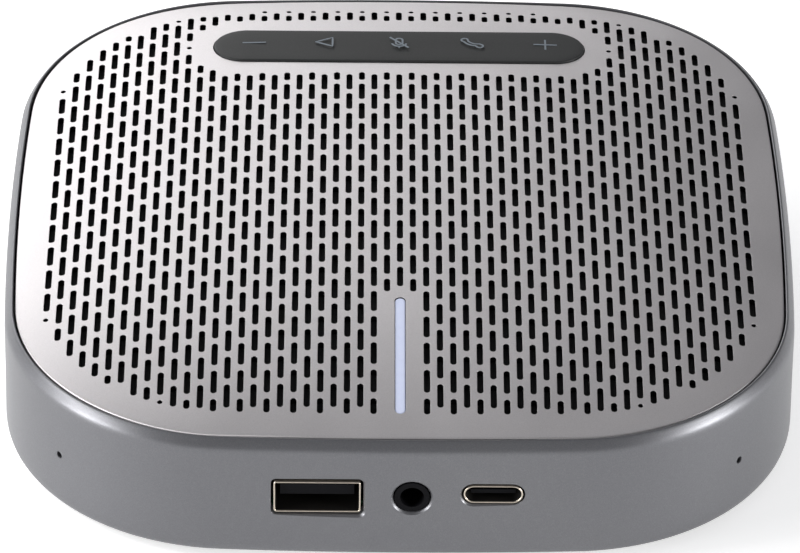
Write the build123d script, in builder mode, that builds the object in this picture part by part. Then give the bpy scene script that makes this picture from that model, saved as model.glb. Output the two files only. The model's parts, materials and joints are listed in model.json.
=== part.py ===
"""Square conference speakerphone: domed slotted grille, touch strip, light bar and three front sockets.

Units are millimetres. The table is Z = 0, the sockets face -Y and the grille faces +Z.
"""

from build123d import *
from math import atan2, cos, pi, radians, sin, sqrt
import os

os.makedirs("parts", exist_ok=True)

# ---------------------------------------------------------------- driving dimensions
PLATE_HALF = 59.5        # grille plate, centre to flat side
SIDE_R = 600.0           # gentle bow of each side
CORNER_R = 33.5          # corner arcs, tangent to the sides
APEX_Z = 27.5            # top of the dome above the table
FALL_2 = 7.367e-4        # the dome falls by FALL_2 (x2 + y2) + FALL_4 (x4 + y4) + FALL_X x2 y2
FALL_4 = 1.677e-7
FALL_X = -1.362e-7
PLATE_T = 1.0            # grille sheet

SLOT_PITCH_X = 2.0       # column to column
SLOT_PITCH_Y = 6.0       # along a column; every other column is shifted by half of it
SLOT_W = 0.95
SLOT_L = 4.8
SLOT_COLUMNS = 27        # columns on each side of the middle one
SLOT_MARGIN = 4.7        # solid border inside the plate's edge
DOT_D = 0.8              # a slot cut shorter than its width becomes a dot
DOT_MIN = 0.5            # what is left shorter than this is dropped

STRIP_Y = 42.2           # control strip's centre line
STRIP_L = 60.0
STRIP_W = 10.4
STRIP_PROUD = 0.35       # how far it stands above the grille
BAR_TOP_Y = -29.1        # light bar, from here towards the front
BAR_END_Y = -54.7
BAR_W = 1.7

FOOT_H = 2.0             # gap under the body
DRAFT_OUT = 1.9          # body wall beyond the plate's outline, at the bottom
WALL_OUT = 1.7           # the same at the top
BEVEL_H = 1.5            # slope between the wall and the lip
LIP_IN = 0.3             # lip's inner edge: the dark gap round the plate
LIP_OUT = 0.6
WALL_IN = -0.2           # inner face of the wall
LEDGE_IN = -3.0
LEDGE_Z = 18.0
LEDGE_T = 1.5

BOTTOM_ROUND = 1.5       # fillet round the wall's lower edge
SOCKET_WALL_HALF = 26.0  # the socket wall spans this much on each side of the middle
SOCKET_WALL_ROOM = 9.5   # and this much in front of and behind the plate's edge

COVER_T = 2.0
BOARD_Z = 8.3            # underside of the main board
BOARD_T = 1.6

USB_A = (-12.35, 12.8)   # socket centres on the front wall, as (x, z)
JACK = (1.85, 12.9)
USB_C = (14.0, 13.5)
SOCKET_FACE_Y = -61.05   # the sockets' mouths, just inside the wall's face

SPEAKER_Y = 4.0

MIC_ANGLE = 42.5         # microphone holes round the corner arcs, from the side
MIC_Z = 11.4
POST_ANGLE = 68.0        # screw posts round the same arcs
POST_R = 28.5            # from the corner arc's centre

# ---------------------------------------------------------------- values worked out from them
SIDE_BACK = SIDE_R - PLATE_HALF
CORNER_C = (sqrt(2 * (SIDE_R - CORNER_R) ** 2 - SIDE_BACK ** 2) - SIDE_BACK) / 2
RIM_Z = APEX_Z - FALL_2 * PLATE_HALF ** 2 - FALL_4 * PLATE_HALF ** 4
COVER_TOP = FOOT_H + COVER_T
BOARD_TOP = BOARD_Z + BOARD_T
LEDGE_TOP = LEDGE_Z + LEDGE_T
QUARTERS = [(1, 1), (-1, 1), (-1, -1), (1, -1)]

BAR_MID_Y = (BAR_TOP_Y + BAR_END_Y) / 2
BAR_L = BAR_TOP_Y - BAR_END_Y
FRAME_RIM = -4.2         # inner edge of the grille frame's rim
POCKET_Z = 20.9          # underside of the strip's pocket
TOUCH_Z = 21.9           # touch board
TOUCH_T = 1.0
LED_BOARD_Z = 19.9
ICON_Y = STRIP_Y + 0.6
ICON_LINE = 0.45
ICON_T = 0.05
FOOT_OUT = -9.0          # rubber foot ring, outer edge
FOOT_W = 6.0
FOOT_SUNK = 0.6
SCREW_D = 2.3
SCREW_HEAD_D = 5.0
SCREW_DEPTH = 10.0
POST_D = 7.0
POST_RIB = 2.0
ABOVE = 8.0              # height of a cutter that only has to reach past the dome
OPENING_GAP = 0.3        # strip window beyond the strip, both sides together

SPEAKER_R = 28.0         # opening in the frame above the loudspeaker
SPEAKER_AXIS = Axis((0, SPEAKER_Y, 0), (0, 0, 1))
SPEAKER_HOLES = 49.2     # spacing of its four screws
CAP_Z = 15.62            # rim of the dust cap
CAP_H = 2.0
CAP_RIM_R = 8.6
CAP_R = (CAP_RIM_R ** 2 + CAP_H ** 2) / (2 * CAP_H)
CAP_CENTRE_Z = CAP_Z + CAP_H - CAP_R
CAP_T = 0.3
FLANGE_Z = 17.0
FLANGE_T = 1.0
BOX_W = 62.0

USB_A_SHELL = (13.1, 5.7)
USB_A_HOLE = (14.2, 6.8)
USB_A_DEPTH = 14.0
USB_A_TONGUE_Z = 0.95
USB_C_SHELL = (8.94, 3.26)
USB_C_DEPTH = 7.4
SHELL_T = 0.3
JACK_D = 5.3
JACK_BORE_R = 1.8        # takes a 3.5 mm plug
JACK_DEPTH = 14.5
JACK_SPRINGS = [(1, 5.0), (-1, 7.0), (1, 9.5), (-1, 11.5)]
REBATE_Y = -61.0         # floor of the shallow rebate round a socket's mouth
SOCKET_CUT_Y = -55.0     # where the cut through the wall starts, inside the body
SOCKET_CUT = 10.0
REBATE_CUT = 3.0
USB_C_ROOM = 0.5         # wall opening beyond the shell, and the rebate beyond it
USB_C_REBATE = 1.1
JACK_ROOM = 0.15
JACK_REBATE = 0.42

BOARD_SCREWS = [(-34, -40), (36, -25), (52, 32), (0, -34)]
MIC_HOLE_D = 1.1
MIC_BOARD_R = 28.6
MIC_BOARD_T = 1.0
BATTERY = (22.0, 54.0, 9.0)
BATTERY_MID = (-44.5, 6.0)
BATTERY_LEAD_X = (-41.5, -39.5)
SPEAKER_LEAD_Y = (5.0, 7.0)
SPEAKER_LEAD_Z = 14.5
WIRE_D = 1.0
LEAD_SOCKETS = [((40.5, 6.0), (6.0, 6.0)), ((-40.5, -34.0), (6.0, 5.0))]
LEAD_SOCKET_H = 3.0
RIBBON_Y = 39.5          # flat cable from the touch board down to the main board
RIBBON_W = 6.0
RIBBON_Z = 21.0
RIBBON_END_X = 42.0


def fall(x, y):
    """How far the grille's surface lies below its apex."""
    return FALL_2 * (x * x + y * y) + FALL_4 * (x ** 4 + y ** 4) + FALL_X * x * x * y * y


def on_dome(x, y):
    """The point of the grille's surface above (x, y)."""
    return Vector(x, y, APEX_Z - fall(x, y))


def dome_face(drop=0.0, reach=70.0):
    """The dome as one exact fourth-degree patch, lowered by drop."""
    second = [reach ** 2 * ((2 * i - 4) ** 2 - 4) / 12 for i in range(5)]
    fourth = [(-1) ** i * reach ** 4 for i in range(5)]
    place = [reach * (i - 2) / 2 for i in range(5)]
    net = []
    for i in range(5):
        row = []
        for j in range(5):
            low = FALL_2 * (second[i] + second[j]) + FALL_4 * (fourth[i] + fourth[j])
            low += FALL_X * second[i] * second[j]
            row.append(Vector(place[i], place[j], APEX_Z - drop - low))
        net.append(row)
    return Face.make_bezier_surface(net)


def dome_slab(drop, thickness):
    """A slab that follows the dome, drop below it."""
    return Solid.extrude(dome_face(drop), (0, 0, -thickness))


def outline(grow=0.0):
    """The rounded square of the plate, offset outwards by grow."""
    lean = Vector(CORNER_C, CORNER_C + SIDE_BACK).normalized() * (SIDE_R + grow)
    side_end = (lean.X, lean.Y - SIDE_BACK)
    corner = CORNER_C + (CORNER_R + grow) / sqrt(2)
    with BuildSketch(mode=Mode.PRIVATE) as sketch:
        with BuildLine():
            for turn in range(4):
                spin = Rotation(0, 0, 90 * turn)
                ends = [side_end, (0, PLATE_HALF + grow), (-side_end[0], side_end[1])]
                bend = [(-side_end[0], side_end[1]), (-corner, corner), (-side_end[1], side_end[0])]
                ThreePointArc(*[(spin * Pos(*p)).position for p in ends])
                ThreePointArc(*[(spin * Pos(*p)).position for p in bend])
        make_face()
    return sketch.sketch


def outline_height(x, grow):
    """Half the rounded square's extent along Y in the column at x."""
    x = abs(x)
    if x < CORNER_C * (SIDE_R + grow) / (SIDE_R - CORNER_R):
        return sqrt((SIDE_R + grow) ** 2 - x * x) - SIDE_BACK
    return CORNER_C + sqrt(max((CORNER_R + grow) ** 2 - (x - CORNER_C) ** 2, 0))


# ---------------------------------------------------------------- the grille's pattern of slots
# Plain areas the slots stop at: centre, half-lengths of the core, and the radius round it.
STRIP_CLEAR = ((0, 42.15), (25.2, 0), 9.1)
BAR_CLEAR = ((0, -41.9), (0, 12.0), 3.0)
BAR_FOOT_CLEAR = ((0, -53.9), (0, 0), 4.05)
EXTRA_DOTS = [(34, 42.1), (-34, 42.1), (54, 31.2), (-54, 31.2), (54, -31.2), (-54, -31.2)]


def plain_span(x, area):
    """The stretch of the column at x that a plain area covers, or None."""
    (mid_x, mid_y), (half_x, half_y), radius = area
    side = max(abs(x - mid_x) - half_x, 0)
    if side >= radius:
        return None
    reach = half_y + sqrt(radius ** 2 - side ** 2)
    return mid_y - reach, mid_y + reach


def slot_list():
    """Every opening as (x, y, length)."""
    found = [(x, y, DOT_D) for x, y in EXTRA_DOTS]
    for column in range(-SLOT_COLUMNS, SLOT_COLUMNS + 1):
        x = column * SLOT_PITCH_X
        limit = outline_height(x, -SLOT_MARGIN)
        plain = [plain_span(x, area) for area in (STRIP_CLEAR, BAR_CLEAR, BAR_FOOT_CLEAR)]
        shift = SLOT_PITCH_Y / 2 * (column % 2)
        for row in range(-10, 11):
            middle = row * SLOT_PITCH_Y + shift
            low = max(middle - SLOT_L / 2, -limit)
            high = min(middle + SLOT_L / 2, limit)
            for span in filter(None, plain):
                if span[0] <= low < span[1]:
                    low = span[1]
                if span[0] < high <= span[1]:
                    high = span[0]
            length = high - low
            if length >= SLOT_W:
                found.append((x, (low + high) / 2, length))
            elif length >= DOT_MIN:
                found.append((x, (low + high) / 2, DOT_D))
    return found


def dome_stadium(x, y, length, width, turned=False):
    """A round-ended slot drawn on the dome, along Y, or along X when turned."""
    radius = width / 2
    straight = max(length / 2 - radius, 0)

    def place(across, along):
        return on_dome(x + along, y - across) if turned else on_dome(x + across, y + along)

    def end(sign):
        bend = [pi * i / 6 for i in range(7)]
        points = [(radius * cos(a), straight + radius * sin(a)) for a in bend]
        return Edge.make_spline([place(across * sign, along * sign) for across, along in points])

    edges = [end(1), end(-1)]
    if straight > 0:
        for side in (1, -1):
            steps = [straight * (1 - i / 2) * side for i in range(5)]
            edges.append(Edge.make_spline([place(-radius * side, step) for step in steps]))
    return Wire(Wire.combine(edges)[0].edges())


# ---------------------------------------------------------------- shared helpers
def save(piece, name):
    """Label a finished piece and write it to parts/."""
    piece.part.label = name
    export_step(piece.part, f"parts/{name}.step", write_pcurves=False)


def corner_point(angle, radius, quarter):
    """A point round a corner arc's centre; angle runs from the X side, quarter is its pair of signs."""
    x = CORNER_C + radius * cos(radians(angle))
    y = CORNER_C + radius * sin(radians(angle))
    return x * quarter[0], y * quarter[1]


def corner_plane(radius, quarter, z):
    """A plane facing outwards through a corner's microphone hole, radius from the arc's centre."""
    x, y = corner_point(MIC_ANGLE, radius, quarter)
    outwards = Vector(cos(radians(MIC_ANGLE)) * quarter[0], sin(radians(MIC_ANGLE)) * quarter[1], 0)
    return Plane(origin=(x, y, z), x_dir=outwards.cross(Vector(0, 0, -1)), z_dir=outwards)


def front_plane(socket, y):
    """A plane through a socket's centre, parallel to the front wall and facing the viewer."""
    return Plane(origin=(socket[0], y, socket[1]), x_dir=(1, 0, 0), z_dir=(0, -1, 0))


def turned(*profile):
    """A ring or disc turned about the speaker's axis from (radius, height) points."""
    with BuildPart() as piece:
        with BuildSketch(front_plane((0, 0), SPEAKER_Y)):
            with BuildLine():
                Polyline(*profile, close=True)
            make_face()
        revolve(axis=SPEAKER_AXIS)
    return piece


def wire_tube(*routes):
    """Round insulated wires along filleted routes, as a group of solids."""
    with BuildPart() as piece:
        for points, bends in routes:
            with BuildLine() as path:
                FilletPolyline(*points, radius=bends)
            with BuildSketch(Plane(origin=path.line @ 0, z_dir=path.line % 0)):
                Circle(WIRE_D / 2)
            sweep(path=path.line)
    return piece


# ---------------------------------------------------------------- shells and grille
with BuildPart() as plate_room:
    with BuildSketch(Plane.XY.offset(LEDGE_TOP)):
        add(outline())
    extrude(amount=2 * ABOVE)

sheet = (dome_face() & plate_room.part).faces()[0]
openings = [dome_stadium(x, y, max(length, DOT_D), min(SLOT_W, length)) for x, y, length in slot_list()]
openings.append(dome_stadium(0, STRIP_Y, STRIP_L + OPENING_GAP, STRIP_W + OPENING_GAP, turned=True))
openings.append(dome_stadium(0, BAR_MID_Y, BAR_L, BAR_W))
with BuildPart() as top_grille:
    extrude(sheet.make_holes(openings), amount=PLATE_T, dir=(0, 0, -1), clean=False)
save(top_grille, "top_grille")

# the wall all round, from which the socket wall is then parted
with BuildPart() as ring:
    with BuildSketch(Plane.XY.offset(FOOT_H)):
        add(outline(DRAFT_OUT))
    wall_h = RIM_Z - FOOT_H
    extrude(amount=wall_h, taper=atan2(DRAFT_OUT - WALL_OUT, wall_h) * 180 / pi)
    chamfer(ring.edges().group_by(Axis.Z)[-1], length=BEVEL_H, length2=WALL_OUT - LIP_OUT)
    fillet(ring.edges().group_by(Axis.Z)[0], radius=BOTTOM_ROUND)
    with BuildSketch(Plane.XY.offset(FOOT_H)):
        add(outline(WALL_IN))
    extrude(amount=LEDGE_Z - FOOT_H, mode=Mode.SUBTRACT)
    with BuildSketch(Plane.XY.offset(LEDGE_Z)):
        add(outline(LEDGE_IN))
    extrude(amount=LEDGE_T, mode=Mode.SUBTRACT)
    with BuildSketch(Plane.XY.offset(LEDGE_TOP)):
        add(outline(LIP_IN))
    extrude(amount=ABOVE, mode=Mode.SUBTRACT)
    # screw posts under the ledge, each tied to the wall by a rib
    for quarter in QUARTERS:
        post = corner_point(POST_ANGLE, POST_R, quarter)
        rib_end = corner_point(POST_ANGLE, CORNER_R + 0.3, quarter)
        with BuildSketch(Plane.XY.offset(COVER_TOP)):
            with Locations(post):
                Circle(POST_D / 2)
            with BuildLine():
                rib = Line(post, rib_end)
            trace(rib, line_width=POST_RIB)
        extrude(amount=LEDGE_Z - COVER_TOP)
        with BuildSketch(Plane.XY.offset(COVER_TOP)):
            with Locations(post):
                Circle(SCREW_D / 2 + 0.05)
        extrude(amount=SCREW_DEPTH, mode=Mode.SUBTRACT)
    # a microphone hole through each corner
    for quarter in QUARTERS:
        with BuildSketch(corner_plane(CORNER_R - 2, quarter, MIC_Z)):
            Circle(MIC_HOLE_D / 2)
        extrude(amount=6, mode=Mode.SUBTRACT)

socket_room = Pos(0, -PLATE_HALF, 0) * Box(2 * SOCKET_WALL_HALF, 2 * SOCKET_WALL_ROOM, 4 * ABOVE + APEX_Z)
with BuildPart() as housing:
    add(ring.part)
    add(socket_room, mode=Mode.SUBTRACT)
save(housing, "housing")

with BuildPart() as socket_wall:
    add(ring.part)
    add(socket_room, mode=Mode.INTERSECT)
    # each socket has a hole through the wall, with a shallow rebate round the two small ones
    with BuildSketch(front_plane(USB_A, SOCKET_CUT_Y)):
        RectangleRounded(USB_A_HOLE[0], USB_A_HOLE[1], 1.0)
    extrude(amount=SOCKET_CUT, mode=Mode.SUBTRACT)
    for y, depth, room in ((SOCKET_CUT_Y, SOCKET_CUT, USB_C_ROOM), (REBATE_Y, REBATE_CUT, USB_C_REBATE)):
        with BuildSketch(front_plane(USB_C, y)):
            SlotOverall(USB_C_SHELL[0] + room, USB_C_SHELL[1] + room)
        extrude(amount=depth, mode=Mode.SUBTRACT)
    for y, depth, room in ((SOCKET_CUT_Y, SOCKET_CUT, JACK_ROOM), (REBATE_Y, REBATE_CUT, JACK_REBATE)):
        with BuildSketch(front_plane(JACK, y)):
            Circle(JACK_D / 2 + room)
        extrude(amount=depth, mode=Mode.SUBTRACT)
save(socket_wall, "socket_wall")

with BuildPart() as bottom_cover:
    with BuildSketch(Plane.XY.offset(FOOT_H)):
        add(outline(WALL_IN - 0.2))
    extrude(amount=COVER_T)
    with BuildSketch(Plane.XY.offset(FOOT_H)):
        add(outline(FOOT_OUT + 0.1))
        add(outline(FOOT_OUT - FOOT_W - 0.1), mode=Mode.SUBTRACT)
    extrude(amount=FOOT_SUNK, mode=Mode.SUBTRACT)
    for quarter in QUARTERS:
        post = corner_point(POST_ANGLE, POST_R, quarter)
        with Locations(Pos(post[0], post[1], FOOT_H) * Rot(180, 0, 0)):
            CounterBoreHole(SCREW_D / 2 + 0.2, SCREW_HEAD_D / 2 + 0.25, 1.1, depth=COVER_T)
    # pillars that carry the main board
    with BuildSketch(Plane.XY.offset(COVER_TOP)):
        with Locations(*BOARD_SCREWS):
            Circle(2.6)
            Circle(0.95, mode=Mode.SUBTRACT)
    extrude(amount=BOARD_Z - COVER_TOP)
    # tray walls round the battery
    with BuildSketch(Plane.XY.offset(COVER_TOP)):
        with Locations(BATTERY_MID):
            Rectangle(BATTERY[0] + 2.6, BATTERY[1] + 2.6)
            Rectangle(BATTERY[0] + 0.6, BATTERY[1] + 0.6, mode=Mode.SUBTRACT)
            Rectangle(BATTERY[0] - 6, BATTERY[1] + 10, mode=Mode.SUBTRACT)
    extrude(amount=4)
    # slotted blocks that hold the microphone boards upright
    for quarter in QUARTERS:
        with BuildSketch(corner_plane(MIC_BOARD_R - 1.5, quarter, COVER_TOP + 2)):
            Rectangle(6, 4)
        extrude(amount=4)
        with BuildSketch(corner_plane(MIC_BOARD_R - 0.05, quarter, COVER_TOP + 4)):
            Rectangle(10, 2)
        extrude(amount=MIC_BOARD_T + 0.1, mode=Mode.SUBTRACT)
save(bottom_cover, "bottom_cover")

with BuildPart() as foot_ring:
    with BuildSketch():
        add(outline(FOOT_OUT))
        add(outline(FOOT_OUT - FOOT_W), mode=Mode.SUBTRACT)
    extrude(amount=FOOT_H + FOOT_SUNK)
    fillet(foot_ring.edges().group_by(Axis.Z)[0], radius=0.6)
save(foot_ring, "foot_ring")

with BuildPart() as cover_screws:
    for quarter in QUARTERS:
        post = corner_point(POST_ANGLE, POST_R, quarter)
        with BuildSketch(Plane.XY.offset(FOOT_H + 0.1)):
            with Locations(post):
                Circle(SCREW_HEAD_D / 2)
        extrude(amount=1.0)
        with BuildSketch(Plane.XY.offset(FOOT_H + 1.1)):
            with Locations(post):
                Circle(SCREW_D / 2)
        extrude(amount=8)
        with BuildSketch(Plane.XY.offset(FOOT_H + 0.1)):
            with Locations(post):
                Rectangle(2.6, 0.6)
                Rectangle(0.6, 2.6)
        extrude(amount=0.6, mode=Mode.SUBTRACT)
save(cover_screws, "cover_screws")

# web under the cloth, open over the loudspeaker
with BuildPart() as web:
    with BuildSketch(Plane.XY.offset(LEDGE_TOP)):
        add(outline(FRAME_RIM + 0.1))
        with Locations((0, SPEAKER_Y)):
            Circle(SPEAKER_R, mode=Mode.SUBTRACT)
    extrude(amount=ABOVE)
    add(dome_slab(PLATE_T + 0.45, 1.6), mode=Mode.INTERSECT)

with BuildPart() as cloth_room:
    with BuildSketch(Plane.XY.offset(LEDGE_TOP)):
        add(outline(FRAME_RIM))
    extrude(amount=10)
    add(dome_slab(PLATE_T - 0.5, 0.95), mode=Mode.INTERSECT)

with BuildPart() as grille_frame:
    # rim that stands on the housing's ledge and carries the grille's edge
    with BuildSketch(Plane.XY.offset(LEDGE_TOP)):
        add(outline(0))
        add(outline(FRAME_RIM), mode=Mode.SUBTRACT)
    extrude(amount=8)
    # pocket round the control strip's board, and holder round the light bar
    with BuildSketch(Plane.XY.offset(POCKET_Z)):
        with Locations((0, STRIP_Y)):
            Rectangle(STRIP_L + 6, STRIP_W + 6)
        with Locations((0, BAR_MID_Y - 1)):
            Rectangle(11, BAR_L + 5)
    extrude(amount=8)
    add(dome_slab(PLATE_T + 0.05, 12), mode=Mode.INTERSECT)
    add(web.part)
    add(cloth_room.part, mode=Mode.SUBTRACT)
    with BuildSketch(Plane.XY.offset(POCKET_Z + 1)):
        with Locations((0, STRIP_Y)):
            Rectangle(STRIP_L + 2, STRIP_W + 2)
    extrude(amount=8, mode=Mode.SUBTRACT)
    with BuildSketch(Plane.XY.offset(POCKET_Z - 3)):
        with Locations((28, RIBBON_Y)):
            Rectangle(13, RIBBON_W + 2)
    extrude(amount=8, mode=Mode.SUBTRACT)
    with BuildSketch(Plane.XY.offset(LEDGE_TOP)):
        with Locations((0, BAR_MID_Y)):
            Rectangle(8.4, BAR_L + 2.8)
    extrude(amount=2.4, mode=Mode.SUBTRACT)
    with BuildSketch(Plane.XY.offset(LEDGE_TOP)):
        with Locations((0, BAR_MID_Y)):
            SlotOverall(BAR_L + 0.1, BAR_W + 0.1, rotation=90)
    extrude(amount=8, mode=Mode.SUBTRACT)
save(grille_frame, "grille_frame")

with BuildPart() as acoustic_cloth:
    with BuildSketch(Plane.XY.offset(LEDGE_TOP)):
        add(outline(FRAME_RIM - 0.2))
        with Locations((0, STRIP_Y)):
            SlotOverall(STRIP_L + 1, STRIP_W + 1, mode=Mode.SUBTRACT)
        with Locations((0, BAR_MID_Y)):
            SlotOverall(BAR_L + 1, BAR_W + 1, rotation=90, mode=Mode.SUBTRACT)
    extrude(amount=10)
    add(dome_slab(PLATE_T + 0.1, 0.25), mode=Mode.INTERSECT)
save(acoustic_cloth, "acoustic_cloth")

# ---------------------------------------------------------------- control strip and light bar
with BuildPart() as control_strip:
    with BuildSketch(Plane.XY.offset(TOUCH_Z + TOUCH_T + 0.1)):
        with Locations((0, STRIP_Y)):
            SlotOverall(STRIP_L, STRIP_W)
    extrude(amount=8)
    add(dome_slab(-STRIP_PROUD, 12), mode=Mode.INTERSECT)
save(control_strip, "control_strip")

with BuildPart() as strip_icons:
    with BuildSketch(Plane.XY.offset(TOUCH_Z)):
        with Locations((-23.5, ICON_Y), (23.7, ICON_Y)):
            Rectangle(4.0, ICON_LINE)
        with Locations((23.7, ICON_Y)):
            Rectangle(ICON_LINE, 4.0)
        # mute: a triangle that points left
        with Locations((-12.0, ICON_Y)):
            Polygon((-1.7, 0), (1.5, 1.8), (1.5, -1.8), align=None)
            Polygon((-0.85, 0), (1.0, 1.05), (1.0, -1.05), align=None, mode=Mode.SUBTRACT)
        # microphone on its stand, struck through
        with Locations((0, ICON_Y + 0.5)):
            SlotOverall(2.8, 1.4, rotation=90)
            SlotOverall(2.1, 0.7, rotation=90, mode=Mode.SUBTRACT)
        with Locations((0, ICON_Y - 0.3)):
            Circle(1.6)
            Circle(1.6 - ICON_LINE, mode=Mode.SUBTRACT)
        with BuildLine():
            slash = Line((-1.6, ICON_Y - 2.1), (1.6, ICON_Y + 2.1))
        trace(slash, line_width=0.3)
        # telephone handset
        with BuildLine():
            handset = ThreePointArc((10.6, ICON_Y + 1.0), (11.4, ICON_Y - 0.7), (13.3, ICON_Y - 1.5))
        trace(handset, line_width=0.5)
        ear = Location((10.7, ICON_Y + 1.2, 0), (0, 0, 20))
        mouth = Location((13.5, ICON_Y - 1.5, 0), (0, 0, 70))
        with Locations(ear, mouth):
            RectangleRounded(0.9, 1.4, 0.3)
    extrude(amount=8)
    add(dome_slab(-STRIP_PROUD - ICON_T, ICON_T), mode=Mode.INTERSECT)
save(strip_icons, "strip_icons")

with BuildPart() as touch_board:
    with BuildSketch(Plane.XY.offset(TOUCH_Z)):
        with Locations((0, STRIP_Y)):
            RectangleRounded(STRIP_L + 1.4, STRIP_W + 1.4, 1.5)
    extrude(amount=TOUCH_T)
save(touch_board, "touch_board")

with BuildPart() as light_bar_lens:
    with BuildSketch(Plane.XY.offset(LED_BOARD_Z + 1.8)):
        with Locations((0, BAR_MID_Y)):
            SlotOverall(BAR_L - 0.1, BAR_W - 0.1, rotation=90)
    extrude(amount=8)
    add(dome_slab(0.15, 10), mode=Mode.INTERSECT)
save(light_bar_lens, "light_bar_lens")

with BuildPart() as light_board:
    with BuildSketch(Plane.XY.offset(LED_BOARD_Z)):
        with Locations((0, BAR_MID_Y)):
            Rectangle(8, BAR_L + 2.4)
    extrude(amount=1.0)
save(light_board, "light_board")

with BuildPart() as bar_leds:
    with BuildSketch(Plane.XY.offset(LED_BOARD_Z + 1.0)):
        with Locations((0, BAR_MID_Y)):
            with GridLocations(0, 5.0, 1, 5):
                Rectangle(1.6, 1.0)
    extrude(amount=0.6)
save(bar_leds, "bar_leds")

# ---------------------------------------------------------------- loudspeaker
speaker_yoke = turned((0, 5.6), (16, 5.6), (16, 7.1), (6.6, 7.1), (6.6, 12.1), (0, 12.1))
save(speaker_yoke, "speaker_yoke")
speaker_magnet = turned((9, 7.1), (17, 7.1), (17, 10.6), (9, 10.6))
save(speaker_magnet, "speaker_magnet")
speaker_top_plate = turned((7.85, 10.6), (16, 10.6), (16, 12.1), (7.85, 12.1))
save(speaker_top_plate, "speaker_top_plate")
voice_coil = turned(
    (6.95, 8.9), (7.1, 8.9), (7.1, 9.2), (7.5, 9.2), (7.5, 13.2), (7.1, 13.2), (7.1, 15.6), (6.95, 15.6)
)
save(voice_coil, "voice_coil")
speaker_cone = turned(
    (7.1, 15.0), (7.7, 15.0), (20.9, 17.65), (22.0, 17.65),
    (22.0, 18.0), (20.7, 18.0), (7.6, 15.4), (7.1, 15.4)
)
save(speaker_cone, "speaker_cone")
spider = turned((7.15, 14.05), (18.2, 14.05), (18.2, 14.35), (7.15, 14.35))
save(spider, "spider")

with BuildPart() as dust_cap:
    with Locations((0, SPEAKER_Y, CAP_CENTRE_Z)):
        Sphere(CAP_R)
        Sphere(CAP_R - CAP_T, mode=Mode.SUBTRACT)
    split(bisect_by=Plane.XY.offset(CAP_Z), keep=Keep.TOP)
save(dust_cap, "dust_cap")

with BuildPart() as surround:
    with BuildSketch(front_plane((0, 0), SPEAKER_Y)):
        with BuildLine():
            Line((20.9, 18.02), (22.2, 18.02))
            ThreePointArc((22.2, 18.02), (23.95, 19.4), (25.7, 18.02))
            Polyline((25.7, 18.02), (27.3, 18.02), (27.3, 18.32), (26.0, 18.32))
            ThreePointArc((26.0, 18.32), (23.95, 19.75), (21.9, 18.32))
            Polyline((21.9, 18.32), (20.9, 18.32), (20.9, 18.02))
        make_face()
    revolve(axis=SPEAKER_AXIS)
save(surround, "surround")

with BuildPart() as speaker_basket:
    with BuildSketch(front_plane((0, 0), SPEAKER_Y)):
        with BuildLine():
            Polyline(
                (9, 12.1), (16.2, 12.1), (18.7, 13.1), (25.4, 15.1), (27.0, 17.0), (28.0, 17.0), (28.0, 18.0),
                (25.9, 18.0), (24.6, 15.8), (18.4, 14.0), (16.4, 14.0), (15.6, 12.9), (9, 12.9), close=True,
            )
        make_face()
    revolve(axis=SPEAKER_AXIS)
    with BuildSketch(Plane.XY.offset(FLANGE_Z)):
        with Locations((0, SPEAKER_Y)):
            RectangleRounded(56, 56, 6)
            Circle(27.5, mode=Mode.SUBTRACT)
            with GridLocations(SPEAKER_HOLES, SPEAKER_HOLES, 2, 2):
                Circle(1.2, mode=Mode.SUBTRACT)
    extrude(amount=FLANGE_T)
    with Locations((0, SPEAKER_Y, 14.5)):
        with PolarLocations(21.6, 8, start_angle=22.5):
            Cylinder(2.2, 4, mode=Mode.SUBTRACT)
save(speaker_basket, "speaker_basket")

with BuildPart() as speaker_gasket:
    with BuildSketch(Plane.XY.offset(FLANGE_Z - 0.8)):
        with Locations((0, SPEAKER_Y)):
            RectangleRounded(57, 57, 6)
            Circle(27.2, mode=Mode.SUBTRACT)
            with GridLocations(SPEAKER_HOLES, SPEAKER_HOLES, 2, 2):
                Circle(1.3, mode=Mode.SUBTRACT)
    extrude(amount=0.8)
save(speaker_gasket, "speaker_gasket")

with BuildPart() as speaker_box:
    with BuildSketch(Plane.XY.offset(COVER_TOP + 0.2)):
        with Locations((0, SPEAKER_Y)):
            RectangleRounded(BOX_W, BOX_W, 6)
    extrude(amount=FLANGE_Z - 0.8 - COVER_TOP - 0.2)
    with BuildSketch(Plane.XY.offset(COVER_TOP + 1.4)):
        with Locations((0, SPEAKER_Y)):
            RectangleRounded(BOX_W - 3, BOX_W - 3, 4.5)
            with GridLocations(SPEAKER_HOLES, SPEAKER_HOLES, 2, 2):
                Circle(2.6, mode=Mode.SUBTRACT)
    extrude(amount=12, mode=Mode.SUBTRACT)
    with BuildSketch(Plane.XY.offset(FLANGE_Z - 9)):
        with Locations((0, SPEAKER_Y)):
            with GridLocations(SPEAKER_HOLES, SPEAKER_HOLES, 2, 2):
                Circle(1.0)
    extrude(amount=9, mode=Mode.SUBTRACT)
    with BuildSketch(Plane(origin=(BOX_W / 2 - 3, 0, SPEAKER_LEAD_Z), x_dir=(0, 1, 0), z_dir=(1, 0, 0))):
        with Locations(*[(y, 0) for y in SPEAKER_LEAD_Y]):
            Circle(WIRE_D / 2 + 0.05)
    extrude(amount=5, mode=Mode.SUBTRACT)
save(speaker_box, "speaker_box")

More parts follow.
